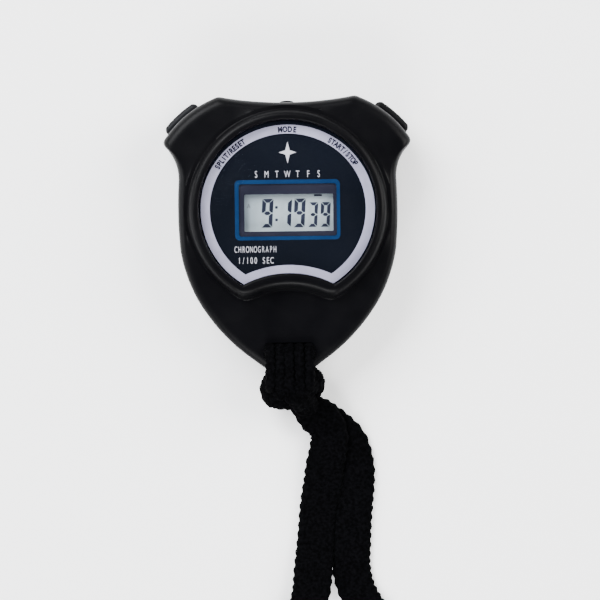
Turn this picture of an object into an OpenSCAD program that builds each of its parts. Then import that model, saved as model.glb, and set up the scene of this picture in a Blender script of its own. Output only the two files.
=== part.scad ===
// Hand-held digital stopwatch on a knitted neck lanyard.
// It lies on its back: +Z out of the display, +Y towards the mode button, +X to the right.
// The origin is on the resting face, under the middle of the case. Millimetres.

/* [Case] */
// Height of the parting plane between the two shells
parting_z = 7.2; // [7:0.1:7.6]
// Height of the case face at the horns
face_top_z = 15.2; // [15:0.1:15.8]
// How fast the face falls towards the tip, per mm squared
face_fall = 0.00105; // [0.0009:0.00005:0.0012]
// Thickness of the back floor
floor_t = 1.8; // [1.6:0.1:1.8]
// Height of the bezel ridge, which is the height of the stopwatch
bezel_z = 17; // [16.8:0.1:18]

/* [Display] */
// Radius of the round part of the lens
lens_r = 21.9; // [21.5:0.1:22.2]
// Thickness of the lens
lens_t = 1.2; // [1:0.1:1.4]
// Width of the liquid crystal cell
lcd_w = 28; // [26:0.5:28]
// Length of the liquid crystal cell's front glass
lcd_l = 15; // [14:0.5:15]

/* [Buttons] */
// How far the two shoulder buttons stand proud of the case
button_proud = 1.8; // [1.4:0.1:2]
// Length of a shoulder button along the case edge
button_l = 10.3; // [9:0.1:11]
// Height of a shoulder button
button_h = 6; // [5:0.1:6.4]
// Direction of a shoulder button's axis from +X, in degrees
button_angle = 48; // [46:1:50]
// Diameter of the mode button
mode_d = 3.6; // [3.2:0.1:4]
// How far the mode button stands proud of the case
mode_proud = 0.9; // [0.8:0.1:1.2]
// Gap round each button where it passes through the case
button_gap = 0.08; // [0.06:0.01:0.1]

/* [Battery] */
// Diameter of the button cell
cell_d = 11.6; // [11.4:0.1:11.6]
// Thickness of the button cell
cell_t = 5.4; // [5.2:0.1:5.4]

/* [Lanyard] */
// Width of the knitted strap
strap_w = 10; // [9:0.5:10]
// Thickness of the knitted strap
strap_t = 2; // [1.6:0.1:2]

/* [Hidden] */
$fn = 64;

case_black = [0.07, 0.07, 0.08];
steel = [0.78, 0.78, 0.8];
strap_black = [0.1, 0.1, 0.12];

// Outline of the case: [start, bulge to the next start, steps], clockwise from the top centre.
half_edges = [
    [[0, 33.4], -0.35, 4],
    [[16, 34.8], 0.3, 2],
    [[18.2, 34.5], 1.15, 5],
    [[30.3, 24.7], 0.4, 3],
    [[30.5, 22.8], -0.95, 4],
    [[27.05, 14.5], 0.35, 3],
    [[26.85, -3.25], 0.5, 3],
    [[22.9, -15.1], 1.2, 5],
    [[8.7, -30.75], 0, 1],
    [[4.6, -33.85], 0.25, 3],
    [[2.4, -34.9], 0, 1],
    [[0, -35], 0, 1]
];

// Points of an arc from p towards q that stands out by the given sagitta on its left.
function arc_points(p, q, bulge, steps) =
    let (
        run = q - p,
        chord = norm(run),
        side = [-run[1], run[0]] / chord
    )
    bulge == 0 || steps == 1
    ? [for (i = [0 : steps - 1]) p + run * i / steps]
    : let (
        radius = (chord * chord / 4 + bulge * bulge) / (2 * abs(bulge)),
        turn = sign(bulge),
        centre = (p + q) / 2 + side * (bulge - turn * radius),
        half = asin(min(1, chord / 2 / radius))
    )
    [for (i = [0 : steps - 1])
        let (a = half * (2 * i / steps - 1))
        centre + radius * (turn * side * cos(a) + run / chord * sin(a))];

half_outline = [for (i = [0 : len(half_edges) - 2])
    each arc_points(half_edges[i][0], half_edges[i + 1][0], half_edges[i][1], half_edges[i][2])];
tip = half_edges[len(half_edges) - 1][0];
outline = concat(
    half_outline,
    [tip],
    [for (i = [len(half_outline) - 1 : -1 : 1]) [-half_outline[i][0], half_outline[i][1]]]
);

// Height of the outside of the case face.
face_far_y = 30;
function face_z(y) = face_top_z - face_fall * pow(min(0, y - face_far_y), 2);

// Shells: [scale of the outline, share of the shell's height], from low to high.
wall_scale = 0.925;
front_rings = [[1, 0], [1, 0.62], [0.988, 0.84], [0.962, 0.96], [0.925, 1], [0.55, 1.04]];
back_rings = [[0.925, 0], [0.955, 0.02], [0.985, 0.09], [1, 0.24], [1, 1]];

// Inside of the case
cavity_top_z = 11.5;
cavity_end_y = -19;
deck_z = 13.9;
deck_t = 1.2;
well = [31.6, 19.6];
window = [26, 14.6];
lcd_y = 6.2;

// Lens and bezel: a disc cut by a second circle that gives the concave lower edge.
dial_y = 6.8;
lens_cut_r = 24.1;
lens_cut_y = -33.25;
bezel_r = lens_r + 2.9;
bezel_cut_r = 21.4;
bezel_cut_y = -34.65;
lens_gap = 0.08;
plate_t = 0.5;
// Bezel profile: [set back from the outer edge, height]
bezel_round = [[0, 14.6], [0.3, 15.7], [0.9, 16.5], [1.5, 16.9], [2.1, bezel_z]];
bezel_round_cut = [[0, 13.6], [0.7, 15.2], [1.4, 16.3], [2.1, 16.8], [2.8, bezel_z]];
bezel_base_z = 12;

// Lanyard slot and the bar that is left between it and the tip
slot = [12.5, 4.9];
slot_y = -28.75;
slot_round = 1.5;
slot_bar_round = 0.5;
bar_top_y = slot_y - slot[1] / 2;
bar_relief_z = 2.8;

// Buttons: the shoulder of the case is an arc about this centre.
shoulder = [8.05, 9.6];
shoulder_r = 26.9;
button_z = parting_z;
inner_wall_r = 25;
pocket_r = 15;
pocket = [13.6, 9.2];
flange = [12.4, 7.6];
flange_t = 1;
flange_gap = 0.1;
stem = 3;
stem_end_r = 18.8;
button_round = 1.4;
mode_wall_y = 31.3;
mode_edge_y = 33.4;
mode_pocket = [8.4, 8.4];
mode_pocket_end_y = 24;
mode_flange_d = 6;
mode_stem_d = 2;
mode_stem_end_y = 28.2;

// Circuit board and the parts on it
board_z = 8.2;
board_t = 1;
board_r = 20.3;
board_end_y = -10;
board_screw_x = 17.8;
leaf_t = 0.25;
leaf_w = 4;
glass_t = 1.1;
film_t = 0.2;
lcd_top_z = 12.5;
rear_glass_l = 11.4;
zebra_w = 1.5;

// Button cell and sounder
cell_at = [9.5, -5];
cell_z = 2.25;
cell_wall = 1.2;
cell_gap = 0.15;
cell_wall_z = 6.4;
sounder_at = [-8.5, 9];
sounder_r = 10;
sounder_seat_z = 2.4;
spring_turns = 6;
spring_r = 1.1;
wire_r = 0.17;

// Case screws from the back into posts of the front shell
screw_at = [[22.6, 12.5], [-22.6, 12.5], [17.5, -14], [-17.5, -14]];
screw_d = 2;
screw_head_d = 4;
screw_post_d = 5.2;
screw_seat_z = 1.6;
screw_end_z = 10.6;

// Lanyard
bight = [12, 9.4, 13.4];
bight_in_y = -29.2;
bight_t = 1.7;
knot_top_y = -35.4;
// Middle of the strap from the knot to the coil, left and right leg: [x, y, z]
left_route = [
    [4.4, -41.5, 4.4], [6.8, -45, 3.9], [9.2, -48, 3.3], [10, -51, 3.1], [9.5, -54.5, 2.9],
    [8.7, -58, 2.6], [8.3, -62, 2.1], [7.2, -66, 1.5], [6, -70, 1.1], [5.4, -76, 1.2],
    [5, -84, 2.3], [4.4, -91, 3.1], [1.5, -98.2, 3.15], [-3.2, -104, 3.15], [-10, -110.8, 3.15]
];
right_route = [
    [5.2, -42, 2.2], [9, -45.2, 1.4], [12.5, -48.4, 1.05], [14.8, -52.4, 1.05],
    [15.7, -57, 1.05], [16, -62, 1.05], [15.8, -68, 1.05], [15.4, -76, 1.05],
    [15.2, -84, 1.05], [17.2, -91.5, 1.05]
];
// The coil is oblong: [middle, radius] of its two round ends, and the radius of the space inside.
coil_ends = [[[2, -137], 42], [[2.5, -194.5], 42.5]];
coil_inner_r = 21.5;

// Side faces between rings of n points each.
function ring_faces(n, rings) = [
    for (k = [0 : rings - 2]) for (i = [0 : n - 1])
        let (j = (i + 1) % n)
        each [
            [k * n + i, k * n + j, (k + 1) * n + j],
            [k * n + i, (k + 1) * n + j, (k + 1) * n + i]
        ]
];

// The strap's cross-section: flat, with soft edges, [across, up].
strap_section = [
    for (p = [[1, 0.4], [0.8, 1], [-0.8, 1], [-1, 0.4], [-1, -0.4], [-0.8, -1], [0.8, -1], [1, -0.4]])
        [p[0] * strap_w / 2, p[1] * strap_t / 2]
];

// Round section for wires, [across, up].
function round_section(r, sides) = [for (i = [0 : sides - 1]) r * [cos(360 * i / sides), sin(360 * i / sides)]];

// One closed tube with the given section along a route of points.
module swept(route, section) {
    n = len(section);
    last = len(route) - 1;
    points = [for (i = [0 : last])
        let (
            ahead = route[min(last, i + 1)] - route[max(0, i - 1)],
            dir = ahead / norm(ahead),
            flat = cross(dir, [0, 0, 1]),
            side = flat / norm(flat),
            up = cross(side, dir)
        )
        for (s = section) route[i] + side * s[0] + up * s[1]];
    caps = [
        [for (i = [n - 1 : -1 : 0]) i],
        [for (i = [0 : n - 1]) last * n + i]
    ];
    polyhedron(points, concat(caps, ring_faces(n, last + 1)), convexity = 6);
}

module case_outline_at(z, height, shrink) {
    translate([0, 0, z])
        linear_extrude(height)
            polygon(outline * shrink);
}

// Closed skin through rings of points from low to high, fanned to a middle point at both ends.
module shell_skin(rings_of_points, low_middle, high_middle) {
    n = len(outline);
    count = len(rings_of_points);
    points = concat([for (ring = rings_of_points) each ring], [low_middle, high_middle]);
    low = count * n;
    faces = concat(
        [for (i = [0 : n - 1]) [(i + 1) % n, i, low]],
        ring_faces(n, count),
        [for (i = [0 : n - 1]) [(count - 1) * n + i, (count - 1) * n + (i + 1) % n, low + 1]]
    );
    polyhedron(points, faces, convexity = 6);
}

// Upper shell without its openings: the wall and the domed face.
module front_skin() {
    shell_skin(
        [for (r = front_rings)
            [for (p = outline)
                let (x = p[0] * r[0], y = p[1] * r[0])
                [x, y, parting_z + (face_z(y) - parting_z) * r[1]]]],
        [0, 0, parting_z],
        [0, 0, face_z(0) + 0.4]
    );
}

// Lower shell without its openings.
module back_skin() {
    shell_skin(
        [for (r = back_rings) [for (p = outline) [p[0] * r[0], p[1] * r[0], parting_z * r[1]]]],
        [0, 0, 0],
        [0, 0, parting_z]
    );
}

// Disc with the concave lower edge of the dial.
module dial_shape(r, cut_r, z, height) {
    difference() {
        translate([0, dial_y, z])
            cylinder(r = r, h = height, $fn = 128);
        translate([0, lens_cut_y, z - 1])
            cylinder(r = cut_r, h = height + 2, $fn = 128);
    }
}

module bezel_ridge() {
    difference() {
        translate([0, dial_y, 0])
            rotate_extrude($fn = 128)
                polygon(concat(
                    [[0, bezel_base_z], [bezel_r, bezel_base_z]],
                    [for (p = bezel_round) [bezel_r - p[0], p[1]]],
                    [[0, bezel_z]]
                ));
        translate([0, bezel_cut_y, 0])
            rotate_extrude($fn = 128)
                polygon(concat(
                    [[0, bezel_base_z - 1], [bezel_cut_r, bezel_base_z - 1]],
                    [for (p = bezel_round_cut) [bezel_cut_r + p[0], p[1]]],
                    [[bezel_cut_r + 3, bezel_z + 1], [0, bezel_z + 1]]
                ));
    }
}

// Outline of the slot, counter-clockwise: round corners above, and tighter ones along the bar.
function slot_outline(steps) = [
    for (k = [0 : 3]) for (i = [0 : steps])
        let (
            a = 90 * (k + i / steps),
            r = k < 2 ? slot_round : slot_bar_round,
            x = (k == 0 || k == 3) ? 1 : -1,
            y = k < 2 ? 1 : -1
        )
        [x * (slot[0] / 2 - r) + r * cos(a), y * (slot[1] / 2 - r) + r * sin(a)]
];

module lanyard_slot() {
    translate([0, slot_y, -1])
        linear_extrude(bezel_z)
            polygon(slot_outline(4));
}

// A block centred in X and Y that stands on Z = 0.
module cube_on(x, y, z) {
    translate([-x / 2, -y / 2, 0])
        cube([x, y, z]);
}

// Place for a shoulder button: X runs out along its axis from the centre of the shoulder arc.
module at_shoulder(side) {
    mirror([side < 0 ? 1 : 0, 0, 0])
        translate([shoulder[0], shoulder[1], button_z])
            rotate([0, 0, button_angle])
                children();
}

// Space for one shoulder button: a pocket behind the wall and the opening through it.
module shoulder_opening(side) {
    at_shoulder(side) {
        translate([pocket_r, -pocket[0] / 2, -pocket[1] / 2])
            cube([inner_wall_r - pocket_r, pocket[0], pocket[1]]);
        translate([inner_wall_r - 1, -button_l / 2 - button_gap, -button_h / 2 - button_gap])
            cube([8, button_l + 2 * button_gap, button_h + 2 * button_gap]);
    }
}

module mode_opening() {
    translate([-mode_pocket[0] / 2, mode_pocket_end_y, button_z - mode_pocket[1] / 2])
        cube([mode_pocket[0], mode_wall_y - mode_pocket_end_y, mode_pocket[1]]);
    translate([0, mode_wall_y - 1, button_z])
        rotate([-90, 0, 0])
            cylinder(d = mode_d + 2 * button_gap, h = 6);
}

module case_cavity(z, height) {
    intersection() {
        case_outline_at(z, height, wall_scale);
        translate([-40, cavity_end_y, z])
            cube([80, 80, height]);
    }
}

// Upper shell: domed face, raised bezel, seat for the lens and posts for the screws.
module front_case() {
    color(case_black)
        difference() {
            union() {
                difference() {
                    union() {
                        front_skin();
                        bezel_ridge();
                    }
                    case_cavity(parting_z - 1, cavity_top_z - parting_z + 1);
                    translate([0, lcd_y, cavity_top_z - 1])
                        cube_on(well[0], well[1], deck_z - deck_t - cavity_top_z + 1);
                }
                for (p = screw_at)
                    translate([p[0], p[1], parting_z])
                        cylinder(d = screw_post_d, h = cavity_top_z - parting_z + 0.5);
                for (x = [-board_screw_x, board_screw_x])
                    translate([x, dial_y, board_z + board_t])
                        cylinder(d = 3.6, h = cavity_top_z - board_z - board_t + 0.5);
            }
            dial_shape(lens_r + lens_gap, lens_cut_r - lens_gap, deck_z, 5);
            translate([0, lcd_y, deck_z - deck_t - 1])
                cube_on(window[0], window[1], 5);
            lanyard_slot();
            shoulder_opening(1);
            shoulder_opening(-1);
            mode_opening();
            for (p = screw_at)
                translate([p[0], p[1], parting_z - 1])
                    cylinder(d = screw_d, h = screw_end_z - parting_z + 1.4);
            for (x = [-board_screw_x, board_screw_x])
                translate([x, dial_y, board_z])
                    cylinder(d = 1.6, h = 3.4);
        }
}

// Lower shell: flat back with screw recesses, cell holder and sounder seat.
module back_case() {
    color(case_black)
        difference() {
            union() {
                difference() {
                    back_skin();
                    case_cavity(floor_t, parting_z);
                }
                for (p = screw_at)
                    translate([p[0], p[1], floor_t - 0.5])
                        cylinder(d = screw_post_d, h = parting_z - floor_t + 0.5);
                translate([cell_at[0], cell_at[1], floor_t - 0.5])
                    cylinder(r = cell_d / 2 + cell_gap + cell_wall, h = cell_wall_z - floor_t + 0.5);
                translate([sounder_at[0], sounder_at[1], floor_t - 0.5])
                    cylinder(r = sounder_r + 1.2, h = sounder_seat_z - floor_t + 0.5);
            }
            translate([cell_at[0], cell_at[1], floor_t])
                cylinder(r = cell_d / 2 + cell_gap, h = parting_z);
            translate([cell_at[0] - cell_d, cell_at[1] - 2.2, floor_t])
                cube([cell_d, 4.4, parting_z]);
            translate([sounder_at[0], sounder_at[1], floor_t])
                cylinder(r = sounder_r - 1.2, h = parting_z);
            lanyard_slot();
            translate([-slot[0] / 2, tip[1] - 1, -1])
                cube([slot[0], bar_top_y - tip[1] + 1.2, bar_relief_z + 1]);
            shoulder_opening(1);
            shoulder_opening(-1);
            mode_opening();
            for (p = screw_at)
                translate([p[0], p[1], -1]) {
                    cylinder(d = screw_head_d + 0.4, h = screw_seat_z + 1);
                    cylinder(d = screw_d + 0.3, h = parting_z + 2);
                }
        }
}

// Clear acrylic window with the same concave lower edge as the bezel.
module lens() {
    color([0.75, 0.85, 0.95, 0.5])
        dial_shape(lens_r, lens_cut_r, deck_z + plate_t, lens_t);
}

// Printed plate behind the lens, with the display window cut out.
module dial_plate() {
    color([0.03, 0.03, 0.04])
        difference() {
            dial_shape(lens_r, lens_cut_r, deck_z, plate_t);
            translate([0, lcd_y, deck_z - 1])
                cube_on(window[0] - 1.2, window[1] - 1.2, plate_t + 2);
        }
}

module lcd_layer(z, width, length, thick) {
    translate([0, lcd_y, z])
        cube_on(width, length, thick);
}

module lcd_front_polariser() {
    color([0.6, 0.66, 0.62])
        lcd_layer(lcd_top_z - film_t, lcd_w - 1, lcd_l - 1, film_t);
}

module lcd_front_glass() {
    color([0.7, 0.8, 0.78])
        lcd_layer(lcd_top_z - film_t - glass_t, lcd_w, lcd_l, glass_t);
}

module lcd_rear_glass() {
    color([0.65, 0.75, 0.72])
        lcd_layer(lcd_top_z - film_t - 2 * glass_t, lcd_w, rear_glass_l, glass_t);
}

module lcd_reflector() {
    color([0.7, 0.72, 0.68])
        lcd_layer(lcd_top_z - 2 * film_t - 2 * glass_t, lcd_w - 1, rear_glass_l - 1, film_t);
}

// Frame that holds the display cell over the circuit board.
module lcd_holder() {
    holder_h = lcd_top_z - board_z - board_t - 0.1;
    color([0.85, 0.85, 0.82])
        difference() {
            lcd_layer(board_z + board_t, lcd_w + 2.4, lcd_l + 2.4, holder_h);
            lcd_layer(board_z + board_t - 1, lcd_w + 0.2, lcd_l + 0.2, holder_h + 2);
        }
}

// Striped rubber connector between the board and the ledge of the front glass.
module zebra_strip(side) {
    strip_h = lcd_top_z - film_t - glass_t - board_z - board_t;
    color([0.35, 0.35, 0.4])
        translate([0, lcd_y + side * (lcd_l / 2 - zebra_w / 2 - 0.1), board_z + board_t])
            cube_on(lcd_w - 2, zebra_w, strip_h);
}

module upper_zebra_strip() {
    zebra_strip(1);
}

module lower_zebra_strip() {
    zebra_strip(-1);
}

module circuit_board() {
    color([0.1, 0.35, 0.18])
        difference() {
            translate([0, dial_y, board_z])
                cylinder(r = board_r, h = board_t, $fn = 96);
            translate([-30, board_end_y - 30, board_z - 1])
                cube([60, 30, board_t + 2]);
            for (x = [-board_screw_x, board_screw_x])
                translate([x, dial_y, board_z - 1])
                    cylinder(d = 1.9, h = board_t + 2);
        }
}

// Drop of resin over the timing chip, under the board.
module chip_blob() {
    blob_r = 4.2;
    blob_h = 1.2;
    steps = 6;
    color([0.04, 0.04, 0.04])
        translate([-6.5, -4, board_z])
            rotate_extrude()
                polygon(concat(
                    [[0, 0]],
                    [for (i = [0 : steps]) let (a = 90 * i / steps) [blob_r * cos(a), -blob_h * sin(a)]]
                ));
}

// Watch crystal in its can, with two bent leads.
module quartz_crystal() {
    can_d = 2;
    color(steel)
        translate([4, 15, board_z - can_d / 2 - 0.1]) {
            rotate([0, 90, 0])
                cylinder(d = can_d, h = 6);
            for (y = [-0.35, 0.35]) {
                translate([-2, y, 0])
                    rotate([0, 90, 0])
                        cylinder(d = 0.3, h = 2, $fn = 16);
                translate([-1.9, y, 0])
                    cylinder(d = 0.3, h = can_d / 2 + 0.1, $fn = 16);
            }
        }
}

// Small capacitors and resistors soldered under the board.
module chip_parts() {
    color([0.7, 0.55, 0.35])
        for (p = [[-13, 0], [-13, -4], [4, 10.5], [8, 10.5]])
            translate([p[0], p[1], board_z - 0.8])
                cube_on(2, 1.25, 0.8);
}

// Button cell: a can and the smaller cap on its lower side.
module battery() {
    color(steel)
        translate([cell_at[0], cell_at[1], cell_z]) {
            translate([0, 0, 0.4])
                cylinder(d = cell_d, h = cell_t - 0.4);
            cylinder(d = cell_d - 1.8, h = 0.5);
        }
}

module battery_positive_contact() {
    top_z = board_z - leaf_t;
    color([0.85, 0.75, 0.45])
        translate([cell_at[0], cell_at[1], 0]) {
            translate([0, 0, top_z])
                cube_on(9, leaf_w, leaf_t);
            translate([0, 0, cell_z + cell_t])
                cylinder(r = 1.5, h = top_z - cell_z - cell_t + 0.1);
        }
}

module battery_negative_contact() {
    reach = 9;
    color([0.85, 0.75, 0.45])
        translate([cell_at[0], cell_at[1], floor_t]) {
            translate([-reach, -leaf_w / 2, 0])
                cube([reach + 2, leaf_w, leaf_t]);
            translate([-reach, -leaf_w / 2, 0])
                cube([leaf_t, leaf_w, board_z - floor_t]);
            cylinder(r = 1.5, h = cell_z - floor_t);
        }
}

// Sounder: a brass disc glued on its seat, with a ceramic disc on top.
module sounder_disc() {
    color([0.85, 0.7, 0.3])
        translate([sounder_at[0], sounder_at[1], sounder_seat_z])
            cylinder(r = sounder_r, h = 0.2);
}

module sounder_ceramic() {
    color([0.92, 0.92, 0.88])
        translate([sounder_at[0], sounder_at[1], sounder_seat_z + 0.2])
            cylinder(r = 7, h = 0.2);
}

// Two coil springs that carry the signal from the board to the sounder.
module sounder_springs() {
    steps = 10;
    for (spot = [[-8.5, 11, 0.4], [-0.2, 9, 0.2]]) {
        bottom = sounder_seat_z + spot[2] + wire_r;
        rise = board_z - wire_r - bottom;
        route = [for (i = [0 : spring_turns * steps])
            let (a = 360 * i / steps, share = i / (spring_turns * steps))
            [spot[0] + spring_r * cos(a), spot[1] + spring_r * sin(a), bottom + rise * share]];
        color(steel)
            swept(route, round_section(wire_r, 6));
    }
}

// Shoulder button: crowned cap, flange behind the wall and a stem to the leaf.
module shoulder_button(side, shade) {
    cap_r = shoulder_r + button_proud;
    cap_back_r = inner_wall_r - flange_gap - flange_t;
    color(shade)
        at_shoulder(side) {
            intersection() {
                translate([0, 0, -button_h / 2])
                    cylinder(r = cap_r, h = button_h, $fn = 160);
                union() {
                    translate([cap_back_r, -button_l / 2, -button_h / 2])
                        cube([shoulder_r + 0.5 - cap_back_r, button_l, button_h]);
                    translate([cap_back_r, -button_l / 2 + button_round, -button_h / 2])
                        cube([10, button_l - 2 * button_round, button_h]);
                    for (y = [-1, 1])
                        translate([shoulder_r + 0.5 - 0.2, y * (button_l / 2 - button_round), -button_h / 2])
                            cylinder(r = button_round, h = button_h, $fn = 32);
                }
            }
            translate([cap_back_r, -flange[0] / 2, -flange[1] / 2])
                cube([flange_t, flange[0], flange[1]]);
            translate([stem_end_r, -stem / 2, -stem / 2])
                cube([cap_back_r - stem_end_r + 0.1, stem, stem - 0.6]);
        }
}

module start_stop_button() {
    shoulder_button(1, [0.14, 0.14, 0.15]);
}

module split_reset_button() {
    shoulder_button(-1, [0.22, 0.22, 0.24]);
}

module mode_button() {
    flange_y = mode_wall_y - flange_gap - flange_t;
    color([0.12, 0.12, 0.13])
        translate([0, 0, button_z])
            rotate([-90, 0, 0]) {
                translate([0, 0, flange_y])
                    cylinder(d = mode_d, h = mode_edge_y + mode_proud - 0.3 - flange_y);
                translate([0, 0, mode_edge_y])
                    cylinder(d = mode_d - 0.7, h = mode_proud);
                translate([0, 0, flange_y])
                    cylinder(d = mode_flange_d, h = flange_t);
                translate([0, 0, mode_stem_end_y])
                    cylinder(d = mode_stem_d, h = flange_y - mode_stem_end_y + 0.1);
            }
}

// Bent contact leaf: it closes the switch and pushes its button back out.
module contact_leaf(stand, foot, drop) {
    color([0.85, 0.75, 0.45]) {
        translate([foot, -leaf_w / 2, board_z - leaf_t - button_z])
            cube([stand - foot, leaf_w, leaf_t]);
        translate([stand - leaf_t, -leaf_w / 2, -drop])
            cube([leaf_t, leaf_w, board_z - button_z + drop]);
    }
}

module start_stop_leaf() {
    at_shoulder(1)
        contact_leaf(stem_end_r, 9.5, 1.6);
}

module split_reset_leaf() {
    at_shoulder(-1)
        contact_leaf(stem_end_r, 9.5, 1.6);
}

module mode_leaf() {
    translate([0, 0, button_z])
        rotate([0, 0, 90])
            contact_leaf(mode_stem_end_y, 23.5, 1.6);
}

// Self-tapping screw, head down, with its cross recess.
module tapping_screw(d, head_d, head_h, length) {
    recess = head_d * 0.55;
    difference() {
        union() {
            cylinder(d = head_d, h = head_h);
            cylinder(d = d, h = length);
        }
        translate([0, 0, -0.1]) {
            cube_on(recess, head_d * 0.16, head_h * 0.6);
            cube_on(head_d * 0.16, recess, head_h * 0.6);
        }
    }
}

module case_screws() {
    head_h = 1.1;
    color(steel)
        for (p = screw_at)
            translate([p[0], p[1], screw_seat_z - head_h])
                tapping_screw(screw_d - 0.04, screw_head_d, head_h, screw_end_z - screw_seat_z + head_h);
}

module board_screws() {
    head_h = 0.8;
    color(steel)
        for (x = [-board_screw_x, board_screw_x])
            translate([x, dial_y, board_z - head_h])
                tapping_screw(1.56, 3.2, head_h, head_h + board_t + 1.8);
}

// Strap doubled through the slot and round the bar.
module lanyard_bight() {
    hole = [bight[1] - 2 * bight_t, bight[2] - 2 * bight_t - 0.4];
    color(strap_black)
        translate([-bight[0] / 2, 0, 0])
            rotate([90, 0, 90])
                linear_extrude(bight[0])
                    difference() {
                        bight_section([bight_in_y - bight[1], 0.4], [bight[1], bight[2] - 0.4], 1.6);
                        bight_section([bight_in_y - bight[1] + bight_t, 0.4 + bight_t], hole, 0.4);
                    }
}

module bight_section(corner, size, round_r) {
    translate(corner + [round_r, round_r])
        offset(r = round_r, $fn = 16)
            square(size - 2 * [round_r, round_r]);
}

// Overhand knot under the tip, as one plain lump.
module lanyard_knot() {
    color(strap_black)
        difference() {
            hull() {
                translate([-2.6, -38.6, 5.4])
                    sphere(r = 4.3, $fn = 32);
                translate([4.2, -38, 5.4])
                    sphere(r = 4.3, $fn = 32);
                translate([1, -38.8, 6])
                    sphere(r = 4.6, $fn = 32);
            }
            translate([-bight[0] / 2 - 0.02, bight_in_y - bight[1] - 0.02, -1])
                cube([bight[0] + 0.04, bight[1], 20]);
            translate([-10, knot_top_y, -1])
                cube([20, 10, 20]);
        }
}

module lanyard_left_leg() {
    color(strap_black)
        swept(left_route, strap_section);
}

module lanyard_right_leg() {
    color(strap_black)
        swept(right_route, strap_section);
}

// Outer shape of the part of the loop that is wound up beside the stopwatch.
// Oblong between two round ends, counter-clockwise.
function oblong(ends, steps) = [
    for (k = [0 : 1]) for (i = [0 : steps])
        let (a = 180 * (k + i / steps))
        ends[k][0] + ends[k][1] * [cos(a), sin(a)]
];

module lanyard_coil() {
    color(strap_black)
        translate([0, 0, 0.05])
            linear_extrude(strap_t)
                difference() {
                    polygon(oblong(coil_ends, 24));
                    polygon(oblong([for (e = coil_ends) [e[0], coil_inner_r]], 24));
                }
}

front_case();
back_case();
lens();
dial_plate();
lcd_front_polariser();
lcd_front_glass();
lcd_rear_glass();
lcd_reflector();
lcd_holder();
upper_zebra_strip();
lower_zebra_strip();
circuit_board();
chip_blob();
quartz_crystal();
chip_parts();
battery();
battery_positive_contact();
battery_negative_contact();
sounder_disc();
sounder_ceramic();
sounder_springs();
start_stop_button();
split_reset_button();
mode_button();
start_stop_leaf();
split_reset_leaf();
mode_leaf();
case_screws();
board_screws();
lanyard_bight();
lanyard_knot();
lanyard_left_leg();
lanyard_right_leg();
lanyard_coil();
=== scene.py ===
import math

import bmesh
import bpy
import numpy as np
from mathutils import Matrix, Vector, kdtree


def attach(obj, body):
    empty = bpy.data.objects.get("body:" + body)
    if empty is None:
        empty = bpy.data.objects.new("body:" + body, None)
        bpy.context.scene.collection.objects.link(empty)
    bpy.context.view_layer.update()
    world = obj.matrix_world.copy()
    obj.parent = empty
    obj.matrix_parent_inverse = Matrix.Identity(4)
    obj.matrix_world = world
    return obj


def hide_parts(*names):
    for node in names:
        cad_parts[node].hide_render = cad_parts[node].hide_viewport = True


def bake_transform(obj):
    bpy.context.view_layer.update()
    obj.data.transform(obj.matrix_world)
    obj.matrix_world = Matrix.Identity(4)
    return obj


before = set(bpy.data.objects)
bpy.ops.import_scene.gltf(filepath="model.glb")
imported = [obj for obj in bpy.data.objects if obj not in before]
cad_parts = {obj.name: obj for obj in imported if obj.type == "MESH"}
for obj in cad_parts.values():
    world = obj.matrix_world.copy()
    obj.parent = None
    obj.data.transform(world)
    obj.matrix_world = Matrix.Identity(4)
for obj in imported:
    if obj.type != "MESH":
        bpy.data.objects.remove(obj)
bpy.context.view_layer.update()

# Lengths are in millimetres, and become metres in mesh_object(). Lights and floor are in metres.
MM = 0.001


# ---- mesh tools
def new_object(name, data):
    piece = bpy.data.objects.new(name, data)
    bpy.context.collection.objects.link(piece)
    return piece


def mesh_object(name, points, faces):
    """Closed mesh in the scene, with its normals outwards."""
    data = bpy.data.meshes.new(name)
    data.from_pydata((np.asarray(points, float) * MM).tolist(), [], [list(f) for f in faces])
    data.validate()
    bm = bmesh.new()
    bm.from_mesh(data)
    bmesh.ops.recalc_face_normals(bm, faces=bm.faces)
    bm.to_mesh(data)
    bm.free()
    return new_object(name, data)


def add_mesh(name, points, faces, material, slot, nodes=(), body="case", smooth=True):
    """Piece of the model, in place of the CAD nodes. A piece given no body is left without a parent."""
    piece = mesh_object(name, points, faces)
    for poly in piece.data.polygons:
        poly.use_smooth = smooth
    piece.data.materials.append(material)
    if nodes:
        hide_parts(*nodes)
    if body:
        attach(piece, body)
    return piece


def ring_quads(n, count, closed=False):
    """Quads between a row of rings of n points. A closed row joins its last ring to its first."""
    faces = []
    for k in range(count if closed else count - 1):
        a, b = k * n, ((k + 1) % count) * n
        for i in range(n):
            j = (i + 1) % n
            faces.append((a + i, a + j, b + j, b + i))
    return faces


def capped_quads(n, count):
    """Quads between rings, with one face across each end."""
    return ring_quads(n, count) + [list(range(n))[::-1], list(range((count - 1) * n, count * n))]


def fan_closed(rings, first_mid, last_mid):
    """Solid of rings whose first and last ring each close on a middle point."""
    n, count = len(rings[0]), len(rings)
    last = (count - 1) * n
    faces = ring_quads(n, count)
    faces += [((i + 1) % n, i, n * count) for i in range(n)]
    faces += [(last + i, last + (i + 1) % n, n * count + 1) for i in range(n)]
    return np.vstack(rings + [[first_mid], [last_mid]]), faces


def box_mesh(half, radius, cells=6):
    """Rounded box centred on the origin: points and quads."""
    half = np.array(half, float)
    bm = bmesh.new()
    bmesh.ops.create_cube(bm, size=2)
    bmesh.ops.subdivide_edges(bm, edges=bm.edges[:], cuts=cells, use_grid_fill=True)
    points = np.array([v.co for v in bm.verts])
    faces = [[v.index for v in f.verts] for f in bm.faces]
    bm.free()
    points = np.sign(points) * np.abs(points) ** 0.6 * half
    core = np.clip(points, -(half - radius), half - radius)
    out = points - core
    length = np.maximum(np.linalg.norm(out, axis=1, keepdims=True), 1e-9)
    return core + out / length * radius, faces


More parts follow.
